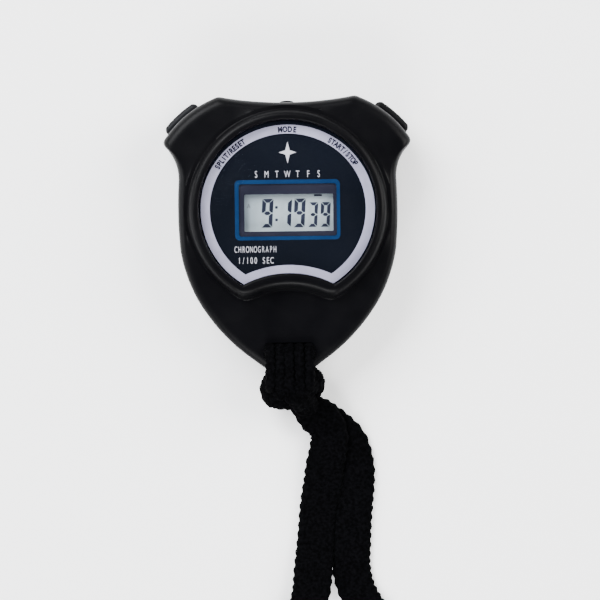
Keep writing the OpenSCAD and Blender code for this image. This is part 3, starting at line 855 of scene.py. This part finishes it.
ring_ink = ink("ring_ink", (0.30, 0.295, 0.40), (0.37, 0.365, 0.48))
white_ink = ink("white_ink", (0.42, 0.42, 0.47), (0.52, 0.52, 0.57))
blue_ink = ink("blue_ink", (0.0008, 0.0135, 0.052), (0.0014, 0.0205, 0.070))
black_ink = ink("black_ink", (0.003, 0.003, 0.010), (0.007, 0.007, 0.018))

# Radius, and the middle in Y and the radius of the concave lower edge.
LOW_EDGE_Y = -33.25
PLATE = (21.85, LOW_EDGE_Y, 24.1)
RING_OUT = (21.55, LOW_EDGE_Y, 24.2)
RING_IN = (19.3, LOW_EDGE_Y, 26.2)
# Rectangles round the display, as two corners and a corner radius.
WINDOW = (-12.05, 0.12, 12.05, 13.0, 0.8)
FRAME_OUT = (-13.1, -0.85, 12.95, 14.05, 1.2, 8)
FRAME_IN = (-12.1, 0.07, 12.1, 13.05, 0.65, 8)
# Painted shade: the dark sheet's rectangles, whose inner edge stands furthest in at the top and left.
SHADE_SHEET_OUT = (-12.5, -0.3, 12.5, 13.4, 0.8, 8)
SHADE_SHEET_IN = (-10.75, 1.3, 11.25, 10.5, 0.3, 8)
angles = dial_angles(PLATE, RING_OUT, RING_IN)


def flat_ring(name, outer, inner, low, high, material, nodes=()):
    """Flat print between two loops that have the same number of points."""
    outer, inner = np.array(outer), np.array(inner)
    rings = [at_z(outer, low), at_z(outer, high), at_z(inner, high), at_z(inner, low)]
    faces = ring_quads(len(outer), len(rings), closed=True)
    piece = add_mesh(name, np.vstack(rings), faces, material, "dial_print", nodes)
    smooth_by_angle(piece, 30)


flat_ring(
    "dial_base", dial_ring(angles, *PLATE), towards(angles, rounded_rect(*WINDOW)), LEDGE_Z, PLATE_Z,
    plate_material(), ("dial_plate",),
)
flat_ring(
    "dial_ring", lowered(dial_ring(angles, *RING_OUT)), lowered(dial_ring(angles, *RING_IN)),
    PLATE_Z, PLATE_Z + PRINT_T, ring_ink,
)
flat_ring(
    "window_frame", rounded_rect(*FRAME_OUT), rounded_rect(*FRAME_IN), PLATE_Z, PLATE_Z + 0.04, blue_ink
)
# Painted shade: a dark sheet in the window's well round the display, widest at the top and left, where the
# window's edge shades the display.
window_shade_ink = varied(
    "window_painted_shade", (0.0085, 0.0083, 0.0155), (0.0145, 0.0140, 0.0235), (0.3, 0.42), 70, 1500, 0.1, 0.01,
    **{"Specular IOR Level": 0.1},
)
flat_ring("window_painted_shade", rounded_rect(*SHADE_SHEET_OUT), rounded_rect(*SHADE_SHEET_IN), 13.92, 14.08, window_shade_ink)


def solid_shapes(name, shapes, low, high, material, slot):
    """Flat shapes, each one closed loop, given a small thickness."""
    parts = []
    for shape in shapes:
        points = [(x, y, z) for z in (low, high) for x, y in shape]
        parts.append((points, capped_quads(len(shape), 2)))
    add_mesh(name, *joined(parts), material, slot, smooth=False)


# Capitals of the built-in font stand this high at size 1.
CAPITAL = 0.73
RING_TEXT_R = 20.45


def letters(name, items, size, material, z, thick, wide, weight):
    """Lettering: items are (text, x, y, turn in degrees), each centred on its place."""
    meshes = []
    for text, x, y, turn in items:
        curve = bpy.data.curves.new("letters", "FONT")
        curve.body = text
        curve.size = 1
        curve.align_x = "CENTER"
        curve.offset = weight
        curve.extrude = 0.5
        o = new_object("letters", curve)
        dg = bpy.context.evaluated_depsgraph_get()
        data = bpy.data.meshes.new_from_object(o.evaluated_get(dg))
        p = np.array([v.co for v in data.vertices])
        faces = [list(f.vertices) for f in data.polygons]
        bpy.data.objects.remove(o)
        p[:, 0] *= size / CAPITAL * wide
        p[:, 1] = (p[:, 1] - CAPITAL / 2) * size / CAPITAL
        c, s = math.cos(math.radians(turn)), math.sin(math.radians(turn))
        right, up = x + c * p[:, 0] - s * p[:, 1], y + s * p[:, 0] + c * p[:, 1]
        meshes.append((np.column_stack([right, up, z + (p[:, 2] + 0.5) * thick]), faces))
    add_mesh(name, *joined(meshes), material, "dial_print", smooth=False)


def on_ring(text, centre, span, radius):
    """Letters spread along the ring, centred on a direction."""
    items = []
    for i, letter in enumerate(text):
        a = centre + span / 2 - span * (i + 0.5) / len(text)
        x = DIAL[0] + radius * math.cos(math.radians(a))
        y = DIAL[1] + radius * math.sin(math.radians(a)) * RING_FLAT
        items.append((letter, x, y, a - 90))
    return items


ring_words = on_ring("SPLIT/RESET", 135, 28, RING_TEXT_R)
ring_words += on_ring("START/STOP", 46.5, 27, RING_TEXT_R)
ring_words += on_ring("MODE", 89.6, 13.6, 20.4)
letters("ring_words", ring_words, 1.38, black_ink, PLATE_Z + 0.025, 0.028, 0.78, 0.05)
DAY_X = (-7.75, -5.15, -2.6, 0, 2.55, 5.15, 7.75)
days = [(c, x, 15.5, 0) for c, x in zip("SMTWTFS", DAY_X)]
letters("day_letters", days, 1.75, white_ink, PLATE_Z, PRINT_T, 0.62, -0.004)


def spaced(text, left, right, y):
    step = (right - left) / (len(text) - 1)
    return [(c, left + step * i, y, 0) for i, c in enumerate(text) if c != " "]


function_words = spaced("CHRONOGRAPH", -12.95, -3.3, -3.05)
letters("function_words", function_words, 1.65, white_ink, PLATE_Z, PRINT_T, 0.5, -0.008)
resolution_words = spaced("1/100 SEC", -12.1, -4.05, -5.8)
letters("resolution_words", resolution_words, 1.65, white_ink, PLATE_Z, PRINT_T, 0.62, -0.002)

STAR_AT = (0.1, 20.8)
STAR_TIP = 2.7
STAR_DIP = 0.75


def star():
    """Plain four-pointed ornament over the weekday letters, narrower than it is tall."""
    points = []
    for k in range(8):
        a = math.pi / 4 * k
        r = (STAR_TIP, STAR_DIP)[k % 2]
        squeeze = 0.8 if k in (2, 6) else 1
        points.append((STAR_AT[0] + r * math.sin(a) * squeeze, STAR_AT[1] + r * math.cos(a)))
    return points


solid_shapes("ornament", [star()], PLATE_Z, PLATE_Z + PRINT_T, white_ink, "dial_print")


# ---- display
LCD_Z = 12.5
LCD_MID_Y = 6.2
LCD_HALF_T = 0.1


def lcd_material():
    m, tree, b = shader("lcd_face", (0.5, 0.56, 0.56), 0.32)
    colour = ramp(tree, noise_node(tree, 75, 1), [(0.3, (0.25, 0.30, 0.335)), (0.7, (0.34, 0.40, 0.42))])
    tree.links.new(colour, b.inputs["Base Color"])
    bump(tree, b, noise_node(tree, 4200, 2), 0.06, 0.01 * MM)
    b.inputs["Specular IOR Level"].default_value = 0.2
    return m


film, film_faces = box_mesh((13.5, 7, LCD_HALF_T), 0.06, 3)
add_mesh(
    "lcd_face", film + [0, LCD_MID_Y, LCD_Z - LCD_HALF_T], film_faces, lcd_material(), "lcd_film",
    ("lcd_front_polariser",), smooth=False,
)

digit_ink = varied(
    "lcd_segment_on", (0.0035, 0.005, 0.015), (0.008, 0.010, 0.026), (0.3, 0.4), 300, 3000, 0.1, 0.005
)
ghost_ink = varied(
    "lcd_segment_off", (0.235, 0.285, 0.315), (0.30, 0.355, 0.375), (0.3, 0.4), 75, 3000, 0.1, 0.005
)
SEGMENTS = {"1": "bc", "3": "abcdg", "9": "abcdfg"}
# The segments' cut tips, the gap round each one, and the slant of the figures.
TIP = 0.12
GAP = 0.05
SLANT = 0.06


def digit(letter, x0, y0, x1, y1, t, off=False):
    """Segments of one figure that are lit, or the ones that are off. t is how wide a segment is."""
    w, h = x1 - x0, y1 - y0
    m = h / 2
    shapes = {
        "a": [(TIP, h), (w - TIP, h), (w - t, h - t), (t, h - t)],
        "d": [(t, t), (w - t, t), (w - TIP, 0), (TIP, 0)],
        "g": [
            (t * 0.55, m), (t, m + t / 2), (w - t, m + t / 2),
            (w - t * 0.55, m), (w - t, m - t / 2), (t, m - t / 2),
        ],
        "f": [(0, h - TIP), (0, m + 0.1), (t * 0.45, m + 0.1), (t, m + t * 0.6), (t, h - t)],
        "e": [(0, m - 0.1), (0, TIP), (t, t), (t, m - t * 0.6), (t * 0.45, m - 0.1)],
        "b": [(w, h - TIP), (w - t, h - t), (w - t, m + t * 0.6), (w - t * 0.45, m + 0.1), (w, m + 0.1)],
        "c": [(w, m - 0.1), (w - t * 0.45, m - 0.1), (w - t, m - t * 0.6), (w - t, t), (w, TIP)],
    }
    lit = SEGMENTS.get(letter, "")
    out = []
    for key, shape in shapes.items():
        if (key in lit) == off:
            continue
        p = np.array(shape, float)
        inwards = p.mean(0) - p
        p = p + inwards / np.maximum(np.linalg.norm(inwards, axis=1, keepdims=True), 1e-6) * GAP
        out.append([(x0 + x + SLANT * (y - m), y0 + y) for x, y in p])
    return out


# Each figure: what it shows, its lower left and upper right corner, and how wide its segments are.
FIGURES = (
    ("9", -6.5, 2.3, -3.7, 9.45, 1.0), ("1", -1.9, 2.3, 0.9, 9.45, 1.0), ("9", 1.5, 2.3, 4.3, 9.45, 1.0),
    ("3", 5.05, 2.35, 7.4, 8.5, 0.85), ("9", 8.1, 2.35, 10.5, 8.5, 0.85),
)
lit = [shape for f in FIGURES for shape in digit(*f)]
colon = [rounded_rect(-3.15, y - 0.33, -2.5, y + 0.33, 0.15, 3) for y in (4.2, 7.3)]
dash = rounded_rect(6.5, 9.95, 8.5, 10.45, 0.12, 3)
solid_shapes("lcd_segments", lit + colon + [dash], LCD_Z, LCD_Z + 0.03, digit_ink, "lcd_film")
ghosts = [shape for f in FIGURES for shape in digit(*f, off=True)]
ghosts += digit("", -10.3, 2.3, -7.55, 9.45, 0.85, off=True)
solid_shapes("lcd_segments_off", ghosts, LCD_Z, LCD_Z + 0.012, ghost_ink, "lcd_film")
# Small letter A, as its two legs and its bar.
ALARM_MARK = (
    ((-10.15, 7.2), (-9.95, 7.2), (-9.7, 7.95), (-9.45, 7.2), (-9.25, 7.2), (-9.6, 8.25), (-9.8, 8.25)),
    ((-9.95, 7.42), (-9.45, 7.42), (-9.5, 7.58), (-9.9, 7.58)),
)
mark_ink = varied("mark_ink", (0.09, 0.11, 0.13), (0.13, 0.15, 0.17), (0.3, 0.4), 300, 3000)
solid_shapes("alarm_mark", ALARM_MARK, LCD_Z, LCD_Z + 0.02, mark_ink, "lcd_film")


# ---- lens
LENS_R = 21.9
LENS_LOW = 14.42
LENS_TOP = 15.6
# How far in each ring of the rounded rim stands, and its height.
LENS_RIM = ((0, LENS_LOW), (0, 15.35), (0.06, 15.5), (0.16, 15.58), (0.3, LENS_TOP))


def lens_material():
    """Clear acrylic, slightly tinted, with uneven polish and a few hair scratches."""
    m, tree, b = shader("lens_clear", (0.012, 0.016, 0.026), 0.04)
    b.inputs["Alpha"].default_value = 0.075
    b.inputs["IOR"].default_value = 1.49
    b.inputs["Specular IOR Level"].default_value = 0.25
    tree.links.new(spread(tree, noise_node(tree, 120, 4), 0.03, 0.1), b.inputs["Roughness"])
    scratch = spread(tree, noise_node(tree, 210, 2, (1, 22, 1)), 0, 1, 0.72, 0.75)
    bump(tree, b, scratch, 0.05, 0.01 * MM)
    return m


angles = dial_angles(PLATE)
rings = [at_z(dial_ring(angles, LENS_R - back, LOW_EDGE_Y, PLATE[2] + back), z) for back, z in LENS_RIM]
lens = add_mesh(
    "lens_window", *fan_closed(rings, (*DIAL, LENS_LOW), (*DIAL, LENS_TOP)), lens_material(), "lens_clear",
    ("lens",),
)
smooth_by_angle(lens, 30)


# ---- lanyard: bight through the slot
def strand_loop(x, phase, corners, ring=14):
    """One braid of the doubled strap, round the bar: a closed tube."""
    step = 0.3
    loop = np.array(rounded_rect(*corners, 2.4, 8))
    line = even(np.column_stack([np.zeros(len(loop) + 1), np.vstack([loop, loop[:1]])]), step)[:-1]
    n = len(line)
    run = np.arange(n) * step
    line[:, 0] = x + 0.14 * np.sin(run / 5 + phase)
    ahead = np.roll(line, -1, 0) - np.roll(line, 1, 0)
    ahead = unit(ahead)
    side = np.tile([1.0, 0, 0], (n, 1))
    up = np.cross(side, ahead)
    around = np.linspace(0, 2 * math.pi, ring, endpoint=False)
    s, a = np.meshgrid(run, around, indexing="ij")
    whole = 2 * math.pi * round(n * step / 1.9) / (n * step)
    braid = 1 + 0.13 * np.cos(s * whole + 2.4 * np.cos(a) + phase)
    wide, thick = 1.24 * braid * np.cos(a), 0.78 * braid * np.sin(a)
    return swept(line, side, up, wide, thick), ring_quads(ring, n, closed=True)


# Middle line of each layer: low Y, low Z, high Y, high Z.
OUTER_LAYER = (-38.1, 1.1, -27.2, 13.9)
INNER_LAYER = (-37.2, 1.95, -29.0, 12.5)
braids = [strand_loop(x, k * 1.7, OUTER_LAYER) for k, x in enumerate((-4.9, -2.45, 0, 2.45, 4.9))]
braids += [strand_loop(x, k * 2.3, INNER_LAYER) for k, x in enumerate((-3.9, -1.3, 1.3, 3.9))]
# Half sizes and places of the strap's middle layers, which keep light from coming through the slot.
MIDDLE_LAYERS = (((5.7, 0.5, 5.2), (0, -26.85, 6.2)), ((6.1, 1.75, 4.2), (0, -28.8, 5.6)))
for half, at in MIDDLE_LAYERS:
    middle, middle_faces = box_mesh(half, 0.45, 4)
    braids.append((middle + at, middle_faces))
bight = add_mesh("lanyard_bight_braids", *joined(braids), knit, "strap_black", ("lanyard_bight",))


# ---- lanyard: knot
KNOT_MID = np.array([0.9, -38.3, 6.2])
# Each visible turn of strap in the knot: its route, half width and half thickness.
KNOT_BANDS = (
    ([
        (6.6, -37.7, 3.4), (7.5, -35.7, 6.4), (6.4, -35.2, 10.2), (1.4, -36.8, 13.2),
        (-3.8, -37.6, 11.6), (-6.2, -39.0, 7.4), (-4.8, -40.2, 3), (0, -40.2, 2),
    ], 3.2, 1.05),
    ([
        (-3.2, -34.6, 12.8), (-0.2, -37.4, 13.6), (2.6, -40.2, 11.4), (4.2, -42.4, 7.4), (5.0, -44.2, 5.0),
    ], 3.1, 1.0),
    ([
        (-5.8, -35.6, 7), (-6.2, -38.2, 9.6), (-4.0, -41.2, 9.4),
        (-0.4, -42.0, 8.0), (3.2, -41.8, 5.4), (5.4, -42.4, 3.2),
    ], 2.5, 1.1),
    ([(7.6, -35.6, 6.5), (7.0, -36.5, 9.0), (4.8, -38.2, 10.2), (2.6, -40.0, 9.6)], 1.9, 1.0),
)
BAND_STEP = 0.4
KNOT_VOXEL = 0.2


def band(points, wide, thick, ring=24):
    """Strap whose flat side faces away from the middle of the knot, and each point's place on the cloth."""
    line = spline(points, BAND_STEP)
    n = len(line)
    ahead = np.gradient(line, axis=0)
    ahead = unit(ahead)
    up = line - KNOT_MID
    up -= ahead * np.sum(up * ahead, axis=1, keepdims=True)
    for _ in range(6):
        up[1:-1] = (up[:-2] + 2 * up[1:-1] + up[2:]) / 4
    up = unit(up)
    side = np.cross(ahead, up)
    around = np.linspace(0, 2 * math.pi, ring, endpoint=False)
    s, a = np.meshgrid(np.arange(n) * BAND_STEP, around, indexing="ij")
    v = np.sign(np.cos(a)) * np.abs(np.cos(a)) ** 0.75
    h = np.sign(np.sin(a)) * np.abs(np.sin(a)) ** 0.75
    # The cloth closes over its edges: the outer face is crowned.
    crown = thick * h - 0.08 * (v * wide) ** 2
    mesh = swept(line, side, up, v * wide, crown)
    return mesh, capped_quads(ring, n), np.column_stack([s.ravel(), v.ravel()])


def knot_mesh():
    """Bands and a core made one by remeshing, with the stitches of the nearest band put back on."""
    bands = [band(*b) for b in KNOT_BANDS]
    core, core_faces = box_mesh((5.4, 3.8, 4.6), 3.6, 10)
    points, faces = joined([(b[0], b[1]) for b in bands] + [(core + KNOT_MID, core_faces)])
    piece = add_mesh("lanyard_knot_body", points, faces, knit, "strap_black", ("lanyard_knot",))
    mod = piece.modifiers.new("remesh", "REMESH")
    mod.mode = "VOXEL"
    mod.voxel_size = KNOT_VOXEL * MM
    apply_modifiers(piece)
    tree = kdtree.KDTree(sum(len(b[0]) for b in bands))
    cloth = np.vstack([b[2] for b in bands])
    for i, p in enumerate(np.vstack([b[0] for b in bands])):
        tree.insert(p, i)
    tree.balance()
    bm = bmesh.new()
    bm.from_mesh(piece.data)
    for _ in range(2):
        bmesh.ops.smooth_vert(
            bm, verts=bm.verts, factor=0.5, use_axis_x=True, use_axis_y=True, use_axis_z=True
        )
    bm.normal_update()
    moves = []
    for v in bm.verts:
        near = tree.find_n(v.co / MM, 3)
        weights = [1 / (d + 0.05) for _, _, d in near]
        place = sum(cloth[i] * w for (_, i, _), w in zip(near, weights)) / sum(weights)
        across = np.clip(place[1], -0.99, 0.99) * 0.75
        lift = float(knit_relief(np.array(place[0]), np.array(across)))
        moves.append(v.normal * (lift - 0.1) * 1.25 * MM)
    for v, move in zip(bm.verts, moves):
        v.co += move
        v.co.z = max(v.co.z, 0.3 * MM)
    bm.to_mesh(piece.data)
    bm.free()
    for poly in piece.data.polygons:
        poly.use_smooth = True
    return piece


knot = knot_mesh()

# ---- inner parts and screws
INNER = {
    "lcd_front_glass": varied(
        "lcd_glass", (0.30, 0.36, 0.34), (0.36, 0.42, 0.40), (0.05, 0.12), 60, 800, 0.02,
    ),
    "lcd_reflector": varied(
        "lcd_reflector", (0.45, 0.47, 0.44), (0.55, 0.57, 0.53), (0.3, 0.45), 120, 4000, 0.1,
    ),
    "lcd_holder": varied("holder_white", (0.62, 0.62, 0.58), (0.72, 0.72, 0.68), (0.4, 0.55), 90, 2400),
    "upper_zebra_strip": varied(
        "zebra_rubber", (0.06, 0.06, 0.07), (0.16, 0.16, 0.18), (0.6, 0.75), 1400, 3000,
    ),
    "circuit_board": varied("board_green", (0.01, 0.075, 0.03), (0.02, 0.12, 0.05), (0.3, 0.45), 260, 2500),
    "chip_blob": varied("resin_black", (0.006, 0.006, 0.006), (0.014, 0.014, 0.013), (0.14, 0.3), 200, 900),
    "quartz_crystal": varied(
        "can_steel", (0.5, 0.5, 0.5), (0.62, 0.62, 0.61), (0.22, 0.36), 300, 3500, 0.1, Metallic=1.0,
    ),
    "chip_parts": varied("chip_ceramic", (0.16, 0.12, 0.08), (0.26, 0.2, 0.14), (0.4, 0.55), 900, 3000),
    "battery": varied(
        "battery_steel", (0.52, 0.52, 0.51), (0.66, 0.66, 0.65), (0.2, 0.34), 160, 5000, 0.1, Metallic=1.0,
    ),
    "battery_positive_contact": varied(
        "contact_metal", (0.6, 0.57, 0.5), (0.7, 0.67, 0.6), (0.25, 0.4), 400, 5000, 0.1, Metallic=1.0,
    ),
    "sounder_disc": varied(
        "disc_brass", (0.5, 0.36, 0.14), (0.62, 0.46, 0.2), (0.25, 0.4), 240, 4000, 0.1, Metallic=1.0,
    ),
    "sounder_ceramic": varied("disc_ceramic", (0.6, 0.58, 0.52), (0.7, 0.68, 0.62), (0.4, 0.5), 300, 3000),
    "case_screws": varied(
        "screw_steel", (0.3, 0.3, 0.31), (0.42, 0.42, 0.43), (0.25, 0.42), 500, 5000, 0.15, Metallic=1.0,
    ),
}
INNER["lcd_rear_glass"] = INNER["lcd_front_glass"]
INNER["lower_zebra_strip"] = INNER["upper_zebra_strip"]
INNER["board_screws"] = INNER["case_screws"]
for name in ("battery_negative_contact", "sounder_springs"):
    INNER[name] = INNER["battery_positive_contact"]
for name, material in INNER.items():
    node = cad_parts[name]
    for slot in node.material_slots:
        slot.material = material


# Half thickness, half width, bend radius, and heights of the flat part and of the upright's lower end.
LEAF_T = 0.12
LEAF_W = 1.96
LEAF_BEND = 0.45
LEAF_Z = 0.87
LEAF_END_Z = -1.6


def contact_leaf(name, node, foot, stand, place):
    """Bent spring strip: its foot lies on the board and its upright stands where the button's stem ends."""
    bend_r, bend_z = stand - LEAF_T - LEAF_BEND, LEAF_Z - LEAF_BEND
    path = [(r, LEAF_Z) for r in np.linspace(foot, bend_r, 24)]
    for a in np.radians(np.linspace(80, 0, 9)):
        path.append((bend_r + LEAF_BEND * math.cos(a), bend_z + LEAF_BEND * math.sin(a)))
    path += [(stand - LEAF_T, z) for z in np.linspace(bend_z - 0.2, LEAF_END_Z, 8)]
    path = np.array(path)
    ahead = np.gradient(path, axis=0)
    ahead = unit(ahead)
    section = ((1, 0.96), (1, -0.96), (0.6, -1), (-0.6, -1), (-1, -0.96), (-1, 0.96), (-0.6, 1), (0.6, 1))
    points = [
        (r - dz * LEAF_T * t, LEAF_W * w, z + dr * LEAF_T * t)
        for (r, z), (dr, dz) in zip(path, ahead) for t, w in section
    ]
    faces = capped_quads(len(section), len(path))
    metal = INNER["battery_positive_contact"]
    leaf = add_mesh(name, place(np.array(points)), faces, metal, "contact_metal", (node,), body=None)
    smooth_by_angle(leaf, 30)
    start, end = (place(np.array([[r, 0, LEAF_Z]]))[0] * MM for r in (foot + 1.5, stand - 0.9))
    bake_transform(leaf)


def to_mode(points):
    """From the mode button's frame, with X out along its axis, to the model's."""
    return np.column_stack([-points[:, 1], points[:, 0], points[:, 2] + PARTING_Z])


contact_leaf("start_stop_spring", "start_stop_leaf", 9.5, 18.8, lambda p: to_shoulder(p, 1))
contact_leaf("split_reset_spring", "split_reset_leaf", 9.5, 18.8, lambda p: to_shoulder(p, -1))
contact_leaf("mode_spring", "mode_leaf", 23.5, 28.2, to_mode)
